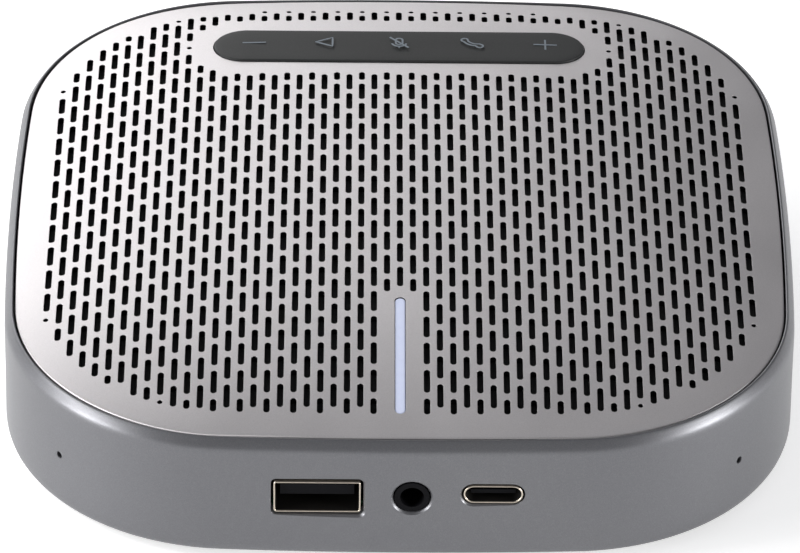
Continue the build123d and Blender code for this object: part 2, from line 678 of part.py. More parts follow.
with BuildPart() as speaker_screws:
    with BuildSketch(Plane.XY.offset(FLANGE_Z + FLANGE_T)):
        with Locations((0, SPEAKER_Y)):
            with GridLocations(SPEAKER_HOLES, SPEAKER_HOLES, 2, 2):
                Circle(2.2)
                Rectangle(2.2, 0.5, mode=Mode.SUBTRACT)
                Rectangle(0.5, 2.2, mode=Mode.SUBTRACT)
    extrude(amount=1.2)
    with BuildSketch(Plane.XY.offset(FLANGE_Z - 7)):
        with Locations((0, SPEAKER_Y)):
            with GridLocations(SPEAKER_HOLES, SPEAKER_HOLES, 2, 2):
                Circle(0.95)
    extrude(amount=8.6)
save(speaker_screws, "speaker_screws")

# ---------------------------------------------------------------- main board and what is on it
with BuildPart() as main_board:
    with BuildSketch(Plane.XY.offset(BOARD_Z)):
        Polygon((-44, -59), (44, -59), (56, -46), (56, 44), (33, 44), (33, -29), (-44, -29), align=None)
        add(outline(-1.5), mode=Mode.INTERSECT)
        for quarter in QUARTERS:
            with Locations(corner_point(POST_ANGLE, POST_R, quarter)):
                Circle(POST_D / 2 + 1, mode=Mode.SUBTRACT)
            with Locations(corner_point(MIC_ANGLE, MIC_BOARD_R, quarter)):
                Circle(7.5, mode=Mode.SUBTRACT)
        with Locations(*BOARD_SCREWS):
            Circle(1.3, mode=Mode.SUBTRACT)
    extrude(amount=BOARD_T)
save(main_board, "main_board")

with BuildPart() as board_screws:
    with BuildSketch(Plane.XY.offset(BOARD_TOP)):
        with Locations(*BOARD_SCREWS):
            Circle(2.0)
            Rectangle(2.0, 0.5, mode=Mode.SUBTRACT)
            Rectangle(0.5, 2.0, mode=Mode.SUBTRACT)
    extrude(amount=1.1)
    with BuildSketch(Plane.XY.offset(BOARD_TOP - 5)):
        with Locations(*BOARD_SCREWS):
            Circle(0.9)
    extrude(amount=5.5)
save(board_screws, "board_screws")

with BuildPart() as shield_can:
    with BuildSketch(Plane.XY.offset(BOARD_TOP)):
        with Locations((45, -10)):
            Rectangle(18, 15)
    extrude(amount=2.4)
    with BuildSketch(Plane.XY.offset(BOARD_TOP)):
        with Locations((45, -10)):
            Rectangle(17.6, 14.6)
    extrude(amount=2.2, mode=Mode.SUBTRACT)
save(shield_can, "shield_can")

with BuildPart() as board_chips:
    with BuildSketch(Plane.XY.offset(BOARD_TOP)):
        with Locations((-24, -42)):
            Rectangle(7, 7)
        with Locations((28, -40), (-16, -36)):
            Rectangle(4, 5)
        with Locations((45, -10)):
            Rectangle(8, 8)
        with Locations((48, 12), (39, 20)):
            Rectangle(4, 4)
    extrude(amount=1.0)
save(board_chips, "board_chips")

with BuildPart() as usb_a_shell:
    with BuildSketch(front_plane(USB_A, SOCKET_FACE_Y + USB_A_DEPTH)):
        RectangleRounded(USB_A_SHELL[0], USB_A_SHELL[1], 0.5)
        RectangleRounded(USB_A_SHELL[0] - 2 * SHELL_T, USB_A_SHELL[1] - 2 * SHELL_T, 0.25, mode=Mode.SUBTRACT)
    extrude(amount=USB_A_DEPTH)
save(usb_a_shell, "usb_a_shell")

with BuildPart() as usb_a_insert:
    with BuildSketch(front_plane(USB_A, SOCKET_FACE_Y + USB_A_DEPTH)):
        RectangleRounded(USB_A_SHELL[0] - 2 * SHELL_T - 0.1, USB_A_SHELL[1] - 2 * SHELL_T - 0.1, 0.3)
    extrude(amount=4)
    with BuildSketch(front_plane(USB_A, SOCKET_FACE_Y + USB_A_DEPTH)):
        with Locations((0, USB_A_TONGUE_Z)):
            Rectangle(11.1, 1.84)
    extrude(amount=USB_A_DEPTH - 0.8)
save(usb_a_insert, "usb_a_insert")

with BuildPart() as usb_a_contacts:
    with BuildSketch(front_plane(USB_A, SOCKET_FACE_Y + USB_A_DEPTH - 4)):
        with Locations(*[(x, USB_A_TONGUE_Z - 1.84 / 2 - 0.1) for x in (-3.5, -1.0, 1.0, 3.5)]):
            Rectangle(1.0, 0.2)
    extrude(amount=USB_A_DEPTH - 6)
save(usb_a_contacts, "usb_a_contacts")

with BuildPart() as usb_c_shell:
    with BuildSketch(front_plane(USB_C, SOCKET_FACE_Y + USB_C_DEPTH)):
        SlotOverall(USB_C_SHELL[0], USB_C_SHELL[1])
        SlotOverall(USB_C_SHELL[0] - 2 * SHELL_T, USB_C_SHELL[1] - 2 * SHELL_T, mode=Mode.SUBTRACT)
    extrude(amount=USB_C_DEPTH)
save(usb_c_shell, "usb_c_shell")

with BuildPart() as usb_c_insert:
    with BuildSketch(front_plane(USB_C, SOCKET_FACE_Y + USB_C_DEPTH)):
        SlotOverall(USB_C_SHELL[0] - 2 * SHELL_T - 0.1, USB_C_SHELL[1] - 2 * SHELL_T - 0.1)
    extrude(amount=1.6)
    with BuildSketch(front_plane(USB_C, SOCKET_FACE_Y + USB_C_DEPTH)):
        Rectangle(6.69, 0.7)
    extrude(amount=USB_C_DEPTH - 0.9)
save(usb_c_insert, "usb_c_insert")

with BuildPart() as usb_c_contacts:
    with BuildSketch(front_plane(USB_C, SOCKET_FACE_Y + USB_C_DEPTH - 1.6)):
        with GridLocations(0.5, 0.8, 12, 2):
            Rectangle(0.25, 0.1)
    extrude(amount=USB_C_DEPTH - 3.2)
save(usb_c_contacts, "usb_c_contacts")

with BuildPart() as usb_c_riser:
    with BuildSketch(Plane.XY.offset(BOARD_TOP)):
        with Locations((USB_C[0], SOCKET_FACE_Y + 4.6)):
            Rectangle(7.4, 4.6)
    extrude(amount=USB_C[1] - USB_C_SHELL[1] / 2 - BOARD_TOP)
save(usb_c_riser, "usb_c_riser")

with BuildPart() as jack_body:
    with BuildSketch(front_plane(JACK, SOCKET_FACE_Y + JACK_DEPTH)):
        Rectangle(6.2, JACK_D)
    extrude(amount=JACK_DEPTH - 2.6)
    with BuildSketch(front_plane(JACK, SOCKET_FACE_Y + 2.6)):
        Circle(JACK_D / 2)
    extrude(amount=2.6)
    with BuildSketch(front_plane(JACK, SOCKET_FACE_Y + JACK_DEPTH - 1)):
        Circle(JACK_BORE_R)
    extrude(amount=JACK_DEPTH, mode=Mode.SUBTRACT)
    for side, depth in JACK_SPRINGS:
        with BuildSketch(front_plane(JACK, SOCKET_FACE_Y + depth + 1)):
            with Locations((side * 2.7, -0.6)):
                Rectangle(0.9, 4.4)
        extrude(amount=2, mode=Mode.SUBTRACT)
save(jack_body, "jack_body")

with BuildPart() as jack_springs:
    for side, depth in JACK_SPRINGS:
        with BuildSketch(front_plane(JACK, SOCKET_FACE_Y + depth + 0.9)):
            with Locations((side * 2.85, -0.6)):
                Rectangle(0.3, 3.6)
        extrude(amount=1.8)
save(jack_springs, "jack_springs")

with BuildPart() as lead_sockets:
    for (x, y), (wide, deep) in LEAD_SOCKETS:
        with BuildSketch(Plane.XY.offset(BOARD_TOP)):
            with Locations((x, y)):
                Rectangle(wide, deep)
        extrude(amount=LEAD_SOCKET_H)
save(lead_sockets, "lead_sockets")

with BuildPart() as ribbon_sockets:
    with BuildSketch(Plane.XY.offset(BOARD_TOP)):
        with Locations((RIBBON_END_X + 2, RIBBON_Y)):
            Rectangle(4, RIBBON_W + 1)
    extrude(amount=1.6)
    with BuildSketch(Plane.XY.offset(TOUCH_Z - 1.3)):
        with Locations((26, RIBBON_Y)):
            Rectangle(4, RIBBON_W + 0.6)
    extrude(amount=1.3)
save(ribbon_sockets, "ribbon_sockets")

# ---------------------------------------------------------------- microphones, battery and wiring
with BuildPart() as mic_boards:
    for quarter in QUARTERS:
        with BuildSketch(corner_plane(MIC_BOARD_R, quarter, MIC_Z)):
            Rectangle(8, 8.6)
            Circle(0.4, mode=Mode.SUBTRACT)
        extrude(amount=MIC_BOARD_T)
save(mic_boards, "mic_boards")

with BuildPart() as mic_capsules:
    for quarter in QUARTERS:
        with BuildSketch(corner_plane(MIC_BOARD_R - 1.1, quarter, MIC_Z)):
            Rectangle(3.8, 3.0)
        extrude(amount=1.1)
save(mic_capsules, "mic_capsules")

with BuildPart() as mic_boots:
    for quarter in QUARTERS:
        with BuildSketch(corner_plane(MIC_BOARD_R + MIC_BOARD_T, quarter, MIC_Z)):
            Circle(3.0)
            Circle(MIC_HOLE_D / 2, mode=Mode.SUBTRACT)
        extrude(amount=CORNER_R + WALL_IN - 0.2 - MIC_BOARD_R - MIC_BOARD_T)
save(mic_boots, "mic_boots")

with BuildPart() as battery_pad:
    with BuildSketch(Plane.XY.offset(COVER_TOP)):
        with Locations(BATTERY_MID):
            Rectangle(BATTERY[0] - 4, BATTERY[1] - 6)
    extrude(amount=0.5)
save(battery_pad, "battery_pad")

with BuildPart() as battery_pack:
    with BuildSketch(Plane.XY.offset(COVER_TOP + 0.5)):
        with Locations(BATTERY_MID):
            Rectangle(BATTERY[0], BATTERY[1])
    extrude(amount=BATTERY[2])
    fillet(battery_pack.edges().filter_by(Axis.Y), radius=2.0)
save(battery_pack, "battery_pack")

LEAD_END_Z = 11.6        # height at which leads meet their sockets
BATTERY_LEAD_Z = 8.5
battery_front = BATTERY_MID[1] - BATTERY[1] / 2
battery_route = [
    (battery_front, BATTERY_LEAD_Z), (battery_front - 4.5, BATTERY_LEAD_Z),
    (battery_front - 7.5, LEAD_END_Z), (-31.5, LEAD_END_Z),
]
battery_leads = wire_tube(*[([(x, y, z) for y, z in battery_route], 2) for x in BATTERY_LEAD_X])
save(battery_leads, "battery_leads")

speaker_route = [(28.8, SPEAKER_LEAD_Z), (34.5, SPEAKER_LEAD_Z), (34.5, LEAD_END_Z), (37.5, LEAD_END_Z)]
speaker_leads = wire_tube(*[([(x, y, z) for x, z in speaker_route], 1.15) for y in SPEAKER_LEAD_Y])
save(speaker_leads, "speaker_leads")

with BuildPart() as touch_ribbon:
    with BuildSketch(front_plane((0, 0), RIBBON_Y + RIBBON_W / 2)):
        with BuildLine() as ribbon_path:
            FilletPolyline(
                (28.02, RIBBON_Z), (36.5, RIBBON_Z), (38.5, 10.7), (RIBBON_END_X, 10.7), radius=1.5
            )
        trace(ribbon_path.line, line_width=0.2)
    extrude(amount=RIBBON_W)
save(touch_ribbon, "touch_ribbon")
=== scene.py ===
"""Looks of the square conference speakerphone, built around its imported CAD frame. Lengths are in metres."""
import json
from math import atan2, cos, pi, radians, sin, sqrt

import bmesh
import bpy
from mathutils import Matrix, Vector
from mathutils.geometry import delaunay_2d_cdt


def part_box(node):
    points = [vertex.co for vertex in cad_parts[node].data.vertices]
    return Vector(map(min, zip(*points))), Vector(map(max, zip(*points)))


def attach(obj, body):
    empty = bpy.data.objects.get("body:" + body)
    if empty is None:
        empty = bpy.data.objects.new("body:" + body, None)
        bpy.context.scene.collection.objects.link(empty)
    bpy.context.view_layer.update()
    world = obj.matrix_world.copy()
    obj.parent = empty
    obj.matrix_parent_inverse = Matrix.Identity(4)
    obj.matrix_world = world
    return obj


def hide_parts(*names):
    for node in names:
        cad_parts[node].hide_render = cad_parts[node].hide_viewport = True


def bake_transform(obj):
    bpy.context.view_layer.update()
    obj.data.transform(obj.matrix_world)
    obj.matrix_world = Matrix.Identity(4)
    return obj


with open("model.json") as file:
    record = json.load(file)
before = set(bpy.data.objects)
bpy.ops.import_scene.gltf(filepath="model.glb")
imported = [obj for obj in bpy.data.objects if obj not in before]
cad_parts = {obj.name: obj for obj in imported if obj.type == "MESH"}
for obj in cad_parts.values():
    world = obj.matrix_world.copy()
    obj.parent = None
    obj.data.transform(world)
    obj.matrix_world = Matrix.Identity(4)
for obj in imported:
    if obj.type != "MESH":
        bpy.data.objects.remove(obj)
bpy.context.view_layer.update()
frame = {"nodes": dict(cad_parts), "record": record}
NODES = frame["nodes"]
SHELL_BODY = "enclosure"
MM = 0.001

# ---------------------------------------------------------------- dimensions
PLATE_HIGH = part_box("top_grille")[1]
APEX_Z = PLATE_HIGH.z
PLATE_HALF = PLATE_HIGH.x           # grille plate, centre to flat side
SIDE_R = 600 * MM                   # gentle bow of each side
CORNER_R = 33.5 * MM                # corner arcs, tangent to the sides
SIDE_BACK = SIDE_R - PLATE_HALF
CORNER_C = (sqrt(2 * (SIDE_R - CORNER_R) ** 2 - SIDE_BACK ** 2) - SIDE_BACK) / 2
LEAN = atan2(CORNER_C, CORNER_C + SIDE_BACK)
FALL_2 = 0.7367                     # the dome falls by FALL_2 (x2 + y2) + FALL_4 (x4 + y4) + FALL_X x2 y2
FALL_4 = 167.7
FALL_X = -136.2
PLATE_T = 1.0 * MM

SLOT_PITCH_X = 2.0 * MM
SLOT_PITCH_Y = 6.0 * MM
SLOT_W = 0.95 * MM
SLOT_L = 4.8 * MM
SLOT_COLUMNS = 27
SLOT_ROWS = 10
SLOT_MARGIN = 4.7 * MM
DOT_D = 0.8 * MM
DOT_MIN = 0.5 * MM
SLOT_EDGE = 0.045 * MM              # rounding of each slot's edge
END_STEPS = 8                       # steps round each end of a slot
SHORTEST = 0.005 * MM               # half the straight part of a round hole, so that no two points meet
MERGE_WITHIN = 1e-7                 # flat points closer than this are one point
QUADRANTS = ((1, 1), (-1, 1), (-1, -1), (1, -1))

STRIP_LOW, STRIP_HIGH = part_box("control_strip")
STRIP_Y = (STRIP_LOW.y + STRIP_HIGH.y) / 2
STRIP_L = STRIP_HIGH.x - STRIP_LOW.x
STRIP_W = STRIP_HIGH.y - STRIP_LOW.y
STRIP_PROUD = 0.35 * MM
STRIP_WINDOW = 0.3 * MM             # the strip's window is this much longer and wider than the strip
LENS_LOW, LENS_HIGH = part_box("light_bar_lens")
BAR_Y = (LENS_LOW.y + LENS_HIGH.y) / 2
LENS_L = LENS_HIGH.y - LENS_LOW.y
LENS_W = LENS_HIGH.x - LENS_LOW.x
LENS_WINDOW = 0.1 * MM
BAR_L = LENS_L + LENS_WINDOW
BAR_W = LENS_W + LENS_WINDOW

# Plain areas that the slots stop at: centre, half-lengths of the core, and the radius round it.
STRIP_CLEAR = ((0, 42.15 * MM), (25.2 * MM, 0), 9.1 * MM)
BAR_CLEAR = ((0, -41.9 * MM), (0, 12.0 * MM), 3.0 * MM)
BAR_FOOT_CLEAR = ((0, -53.9 * MM), (0, 0), 4.05 * MM)
# Dots outside the regular pattern, as (x, y) in mm.
EXTRA_DOTS = [(34, 42.1), (-34, 42.1), (54, 31.2), (-54, 31.2), (54, -31.2), (-54, -31.2)]
BACK_DOTS = [(x, 54.9) for x in range(-22, 23, 4)]   # the small dots behind the control strip


def fall(x, y):
    """How far the grille's surface lies below its apex."""
    return FALL_2 * (x * x + y * y) + FALL_4 * (x ** 4 + y ** 4) + FALL_X * x * x * y * y


def dome_z(x, y):
    """Height of the grille's surface above the table."""
    return APEX_Z - fall(x, y)


def dome_normal(x, y):
    """The grille's surface normal."""
    slope_x = 2 * FALL_2 * x + 4 * FALL_4 * x ** 3 + 2 * FALL_X * x * y * y
    slope_y = 2 * FALL_2 * y + 4 * FALL_4 * y ** 3 + 2 * FALL_X * x * x * y
    return Vector((slope_x, slope_y, 1)).normalized()


def outline_ring(grow, side_steps=20, corner_steps=32):
    """Points round the plate's outline, offset outwards by grow, anticlockwise, each corner before its side."""
    ring = []
    for quarter in range(4):
        spin = quarter * pi / 2
        for i in range(corner_steps):
            a = LEAN + (pi / 2 - 2 * LEAN) * i / corner_steps
            reach = CORNER_R + grow
            ring.append((CORNER_C + reach * cos(a), CORNER_C + reach * sin(a), spin))
        for i in range(side_steps):
            a = pi / 2 - LEAN + 2 * LEAN * i / side_steps
            ring.append(((SIDE_R + grow) * cos(a), (SIDE_R + grow) * sin(a) - SIDE_BACK, spin))
    return [(x * cos(t) - y * sin(t), x * sin(t) + y * cos(t)) for x, y, t in ring]


def stadium_ring(x, y, length, width, along_x=False, steps=END_STEPS):
    """Points round a round-ended slot, anticlockwise, along Y unless along_x."""
    radius = width / 2
    straight = max(length / 2 - radius, SHORTEST)
    ring = []
    for sign in (1, -1):
        for i in range(steps + 1):
            a = pi * i / steps
            ring.append((radius * cos(a) * sign, sign * (straight + radius * sin(a))))
    if along_x:
        ring = [(v, -u) for u, v in ring]
    return [(x + u, y + v) for u, v in ring]


def rounded_ring(wide, high, radius, steps=6):
    """Points round a rectangle with round corners, anticlockwise, about its centre."""
    ring = []
    for quarter, (sx, sy) in enumerate(QUADRANTS):
        for i in range(steps + 1):
            a = pi / 2 * (quarter + i / steps)
            x = sx * (wide / 2 - radius) + radius * cos(a)
            y = sy * (high / 2 - radius) + radius * sin(a)
            ring.append((x, y))
    return ring


# ---------------------------------------------------------------- mesh helpers
def piece(name, vertices, faces, slot, replaces=(), normals=None, smooth_angle=35.0, body=SHELL_BODY):
    """A mesh piece in the frame's metres, riding on body unless that is None."""
    mesh = bpy.data.meshes.new(name)
    mesh.from_pydata([tuple(v) for v in vertices], [], faces)
    mesh.validate()
    for polygon in mesh.polygons:
        polygon.use_smooth = True
    if normals is None:
        mesh.set_sharp_from_angle(angle=radians(smooth_angle))
    else:
        mesh.normals_split_custom_set_from_vertices([tuple(n) for n in normals])
    obj = bpy.data.objects.new(name, mesh)
    bpy.context.scene.collection.objects.link(obj)
    obj.data.materials.append(MATERIALS[slot])
    if body:
        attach(obj, body)
    if replaces:
        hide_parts(*replaces)
    return obj


def skin(rings, closed_ends=(False, False), looped=False):
    """Vertices and quads of rings of equal length, each joined to the next."""
    count = len(rings[0])
    vertices = [v for ring in rings for v in ring]
    faces = []
    pairs = [(i, i + 1) for i in range(len(rings) - 1)]
    if looped:
        pairs.append((len(rings) - 1, 0))
    for a, b in pairs:
        for i in range(count):
            j = (i + 1) % count
            faces.append((a * count + i, a * count + j, b * count + j, b * count + i))
    if closed_ends[0]:
        faces.append(tuple(reversed(range(count))))
    if closed_ends[1]:
        faces.append(tuple(range((len(rings) - 1) * count, len(rings) * count)))
    return vertices, faces


def merge(parts):
    """Joins (vertices, faces) parts into one."""
    vertices, faces = [], []
    for part_vertices, part_faces in parts:
        start = len(vertices)
        vertices += part_vertices
        faces += [tuple(i + start for i in face) for face in part_faces]
    return vertices, faces


def facing_front(ring, centre_x, y, centre_z):
    """A ring drawn in the front wall's plane at depth y."""
    return [(centre_x + u, y, centre_z + v) for u, v in ring]


def face_outwards(mesh):
    """Turns a closed mesh's faces outwards."""
    edit = bmesh.new()
    edit.from_mesh(mesh)
    bmesh.ops.recalc_face_normals(edit, faces=edit.faces)
    edit.to_mesh(mesh)
    edit.free()


def add_ring(points, edges, owner, ring, mark):
    """Adds a closed ring of flat points and its edges, all owned by mark."""
    start = len(points)
    points.extend(Vector(p) for p in ring)
    owner.extend([mark] * len(ring))
    edges.extend((start + i, start + (i + 1) % len(ring)) for i in range(len(ring)))


def triangulate(points, edges, owner, first_hole):
    """The flat points and their triangles, leaving open each ring whose mark is first_hole or more."""
    flat, _, triangles, _, _, _ = delaunay_2d_cdt(points, edges, [], 0, MERGE_WITHIN)
    keep = [t for t in triangles
            if owner[t[0]] < first_hole or not owner[t[0]] == owner[t[1]] == owner[t[2]]]
    return flat, keep


# ---------------------------------------------------------------- materials
def new_material(name, color, roughness, metallic=0.0, specular=0.5):
    """A principled material with its plain values; returns (material, nodes, links, shader)."""
    material = bpy.data.materials.new(name)
    material.use_nodes = True
    nodes, links = material.node_tree.nodes, material.node_tree.links
    shader = nodes["Principled BSDF"]
    shader.inputs["Base Color"].default_value = (*color, 1)
    shader.inputs["Roughness"].default_value = roughness
    shader.inputs["Metallic"].default_value = metallic
    shader.inputs["Specular IOR Level"].default_value = specular
    return material, nodes, links, shader


def texture(nodes, links, kind, scale, **sockets):
    """A procedural texture in the object's own coordinates, scaled per metre."""
    place = nodes.new("ShaderNodeTexCoord")
    tex = nodes.new(kind)
    tex.inputs["Scale"].default_value = scale
    for key, value in sockets.items():
        tex.inputs[key].default_value = value
    links.new(place.outputs["Object"], tex.inputs["Vector"])
    return tex


def ramp(nodes, links, source, stops):
    """A colour ramp fed by a texture output; stops are (position, colour)."""
    node = nodes.new("ShaderNodeValToRGB")
    while len(node.color_ramp.elements) < len(stops):
        node.color_ramp.elements.new(0.5)
    for element, (position, color) in zip(node.color_ramp.elements, stops):
        element.position = position
        element.color = (*color, 1)
    links.new(source, node.inputs["Fac"])
    return node


def multiply(nodes, links, first, second):
    """The product of two colours."""
    node = nodes.new("ShaderNodeMix")
    node.data_type = "RGBA"
    node.blend_type = "MULTIPLY"
    node.inputs["Factor"].default_value = 1.0
    links.new(first, node.inputs["A"])
    links.new(second, node.inputs["B"])
    return node.outputs["Result"]


def map_range(nodes, links, source, low, high):
    """A texture output spread from low to high."""
    node = nodes.new("ShaderNodeMapRange")
    node.inputs["To Min"].default_value = low
    node.inputs["To Max"].default_value = high
    links.new(source, node.inputs["Value"])
    return node


def bump(nodes, links, shader, height, strength, distance):
    """Fine relief, distance high in metres."""
    node = nodes.new("ShaderNodeBump")
    node.inputs["Strength"].default_value = strength
    node.inputs["Distance"].default_value = distance
    links.new(height, node.inputs["Height"])
    links.new(node.outputs["Normal"], shader.inputs["Normal"])


def grained(name, color, roughness, metallic=0.0, specular=0.5,
            grain=4000, spread=0.12, depth=0.00002, strength=0.25):
    """A surface with fine grain in its colour, gloss and height, and a broad cloudiness."""
    material, nodes, links, shader = new_material(name, color, roughness, metallic, specular)
    fine = texture(nodes, links, "ShaderNodeTexNoise", grain, Detail=3.0, Roughness=0.6)
    broad = texture(nodes, links, "ShaderNodeTexNoise", 60, Detail=2.0)
    dark = tuple(c * (1 - spread) for c in color)
    light = tuple(min(1, c * (1 + spread)) for c in color)
    tint = ramp(nodes, links, fine.outputs["Fac"], [(0.3, dark), (0.7, light)])
    shade = ramp(nodes, links, broad.outputs["Fac"], [(0.3, (0.95, 0.95, 0.95)), (0.7, (1, 1, 1))])
    clouded = multiply(nodes, links, tint.outputs["Color"], shade.outputs["Color"])
    links.new(clouded, shader.inputs["Base Color"])
    gloss = map_range(nodes, links, broad.outputs["Fac"], roughness * 0.88, min(1, roughness * 1.12))
    links.new(gloss.outputs["Result"], shader.inputs["Roughness"])
    bump(nodes, links, shader, fine.outputs["Fac"], strength, depth)
    return material


def metallic_paint(name, color):
    """Satin metallic paint: very fine flakes under a thin clear coat, with soft clouding."""
    material, nodes, links, shader = new_material(name, color, 0.4, 0.7)
    flakes = texture(nodes, links, "ShaderNodeTexVoronoi", 14000)
    dark = tuple(c * 0.9 for c in color)
    light = tuple(min(1, c * 1.22) for c in color)
    sparkle = ramp(nodes, links, flakes.outputs["Color"], [(0.2, dark), (0.6, color), (0.95, light)])
    cloud = texture(nodes, links, "ShaderNodeTexNoise", 45, Detail=3.0)
    shade = ramp(nodes, links, cloud.outputs["Fac"], [(0.3, (0.95, 0.95, 0.96)), (0.7, (1, 1, 1))])
    clouded = multiply(nodes, links, sparkle.outputs["Color"], shade.outputs["Color"])
    links.new(clouded, shader.inputs["Base Color"])
    rough = map_range(nodes, links, flakes.outputs["Distance"], 0.36, 0.46)
    links.new(rough.outputs["Result"], shader.inputs["Roughness"])
    peel = texture(nodes, links, "ShaderNodeTexNoise", 3000, Detail=2.0)
    bump(nodes, links, shader, peel.outputs["Fac"], 0.05, 0.00001)
    shader.inputs["Coat Weight"].default_value = 0.1
    shader.inputs["Coat Roughness"].default_value = 0.3
    return material


def woven(name, color, thread):
    """Cloth whose crossing threads are thread apart."""
    material, nodes, links, shader = new_material(name, color, 0.85)
    warp = texture(nodes, links, "ShaderNodeTexWave", 0.5 / thread, Distortion=0.6, Detail=1.0)
    weft = texture(nodes, links, "ShaderNodeTexWave", 0.5 / thread, Distortion=0.6, Detail=1.0)
    weft.bands_direction = "Y"
    cross = nodes.new("ShaderNodeMath")
    cross.operation = "MULTIPLY"
    links.new(warp.outputs["Fac"], cross.inputs[0])
    links.new(weft.outputs["Fac"], cross.inputs[1])
    dark = tuple(c * 0.3 for c in color)
    light = tuple(min(1, c * 3 + 0.02) for c in color)
    tint = ramp(nodes, links, cross.outputs["Value"], [(0.1, dark), (0.7, color), (0.97, light)])
    links.new(tint.outputs["Color"], shader.inputs["Base Color"])
    bump(nodes, links, shader, cross.outputs["Value"], 0.6, thread * 0.3)
    shader.inputs["Sheen Weight"].default_value = 0.15
    return material


def milky(name, color):
    """Translucent milky plastic with a faint glow from inside."""
    material, nodes, links, shader = new_material(name, color, 0.38)
    haze = texture(nodes, links, "ShaderNodeTexNoise", 900, Detail=2.0)
    tint = ramp(nodes, links, haze.outputs["Fac"], [(0.3, tuple(c * 0.95 for c in color)), (0.7, color)])
    links.new(tint.outputs["Color"], shader.inputs["Base Color"])
    bump(nodes, links, shader, haze.outputs["Fac"], 0.08, 0.00002)
    shader.inputs["Emission Color"].default_value = (*color, 1)
    shader.inputs["Emission Strength"].default_value = 0.18
    return material


SLOT_COLORS = {m["slot"]: tuple(m["base_color"][:3]) for m in frame["record"]["materials"]}
PLASTICS = ("black_plastic", "connector_plastic", "chip_black", "led_white", "cone_paper", "battery_wrap",
            "ribbon_film", "circuit_board")
METALS = {"zinc_steel": 0.38, "screw_steel": 0.42, "gold_contact": 0.25, "copper_wire": 0.35}
RUBBERS = ("foot_rubber", "seal_foam", "wire_red", "ferrite")

BODY_PAINT = (0.150, 0.151, 0.160)
PLATE_METAL = (0.615, 0.592, 0.598)
STRIP_GREY = (0.030, 0.031, 0.031)
# Black of the socket plastic; the same black is also painted shade on the slots' lower walls.
SOCKET_BLACK_AND_SLOT_SHADE = (0.004, 0.004, 0.005)
# Painted shade: near black for the inside wall of the socket shells.
SHELL_INSIDE_SHADE = (0.012, 0.011, 0.010)
BAR_WHITE = (0.62, 0.67, 0.86)
SHELL_STEEL = (0.56, 0.50, 0.42)    # nickel with a faint champagne cast
ICON_PRINT = (0.17, 0.20, 0.23)

MATERIALS = {}
for slot, color in SLOT_COLORS.items():
    if slot in METALS:
        MATERIALS[slot] = grained(slot, color, METALS[slot], metallic=1.0, grain=2500, spread=0.06)
    elif slot in RUBBERS:
        MATERIALS[slot] = grained(slot, color, 0.78, grain=3000, depth=0.00004)
    elif slot in PLASTICS:
        MATERIALS[slot] = grained(slot, color, 0.5, grain=3500, specular=0.25)
MATERIALS["grille_aluminium"] = grained("grille_aluminium", PLATE_METAL, 0.47, metallic=0.9,
                                        grain=7000, spread=0.07, depth=0.000012, strength=0.3)
MATERIALS["body_metallic"] = metallic_paint("body_metallic", BODY_PAINT)
MATERIALS["bright_steel"] = grained("bright_steel", SHELL_STEEL, 0.3, metallic=1.0, grain=2500, spread=0.06)
MATERIALS["icon_print"] = grained("icon_print", ICON_PRINT, 0.6)
MATERIALS["strip_plastic"] = grained("strip_plastic", STRIP_GREY, 0.5, specular=0.16,
                                     grain=5000, spread=0.15, depth=0.00001)
MATERIALS["socket_plastic"] = grained("socket_plastic", SOCKET_BLACK_AND_SLOT_SHADE, 0.5, specular=0.06, grain=5000)
# Painted shade: the slots' lower walls are coloured near black, standing for the shade inside the punched
# sheet.
MATERIALS["slot_wall_painted_shade"] = grained("slot_wall_painted_shade", SOCKET_BLACK_AND_SLOT_SHADE, 0.6, specular=0.1, grain=5000)
MATERIALS["shell_inside_painted_shade"] = grained("shell_inside_painted_shade", SHELL_INSIDE_SHADE, 0.5, metallic=0.6, grain=2500)
MATERIALS["acoustic_cloth"] = woven("acoustic_cloth", SLOT_COLORS["acoustic_cloth"], 0.35 * MM)
MATERIALS["spider_cloth"] = woven("spider_cloth", SLOT_COLORS["spider_cloth"], 0.5 * MM)
MATERIALS["lens_plastic"] = milky("lens_plastic", BAR_WHITE)

for part in frame["record"]["subparts"]:
    node = NODES[part["node"]]
    node.data.materials.clear()
    node.data.materials.append(MATERIALS[part["material_slot"]])


# ---------------------------------------------------------------- grille
# The plate's rim, as (offset from the outline, drop below the dome) in mm, and the rings of points inside it.
RIM_STEPS = [(-0.30, 0.0), (-0.16, 0.03), (-0.05, 0.12), (0.0, 0.28), (0.0, 1.0)]
RIM_TURN = 3            # the normals turn from up to outwards over this many steps
INNER_RINGS = (-1.3, -2.4, -3.6)
RIM_MARK = -1
INNER_MARK = -2
STRIP_END_STEPS = 24
BAR_END_STEPS = 12


def plain_span(x, area):
    """The stretch of the column at x that a plain area covers, or None."""
    (mid_x, mid_y), (half_x, half_y), radius = area
    side = max(abs(x - mid_x) - half_x, 0)
    if side >= radius:
        return None
    reach = half_y + sqrt(radius ** 2 - side ** 2)
    return mid_y - reach, mid_y + reach


def outline_height(x, grow):
    """Half the rounded square's extent along Y in the column at x."""
    x = abs(x)
    if x < (SIDE_R + grow) * sin(LEAN):
        return sqrt((SIDE_R + grow) ** 2 - x * x) - SIDE_BACK
    return CORNER_C + sqrt(max((CORNER_R + grow) ** 2 - (x - CORNER_C) ** 2, 0))


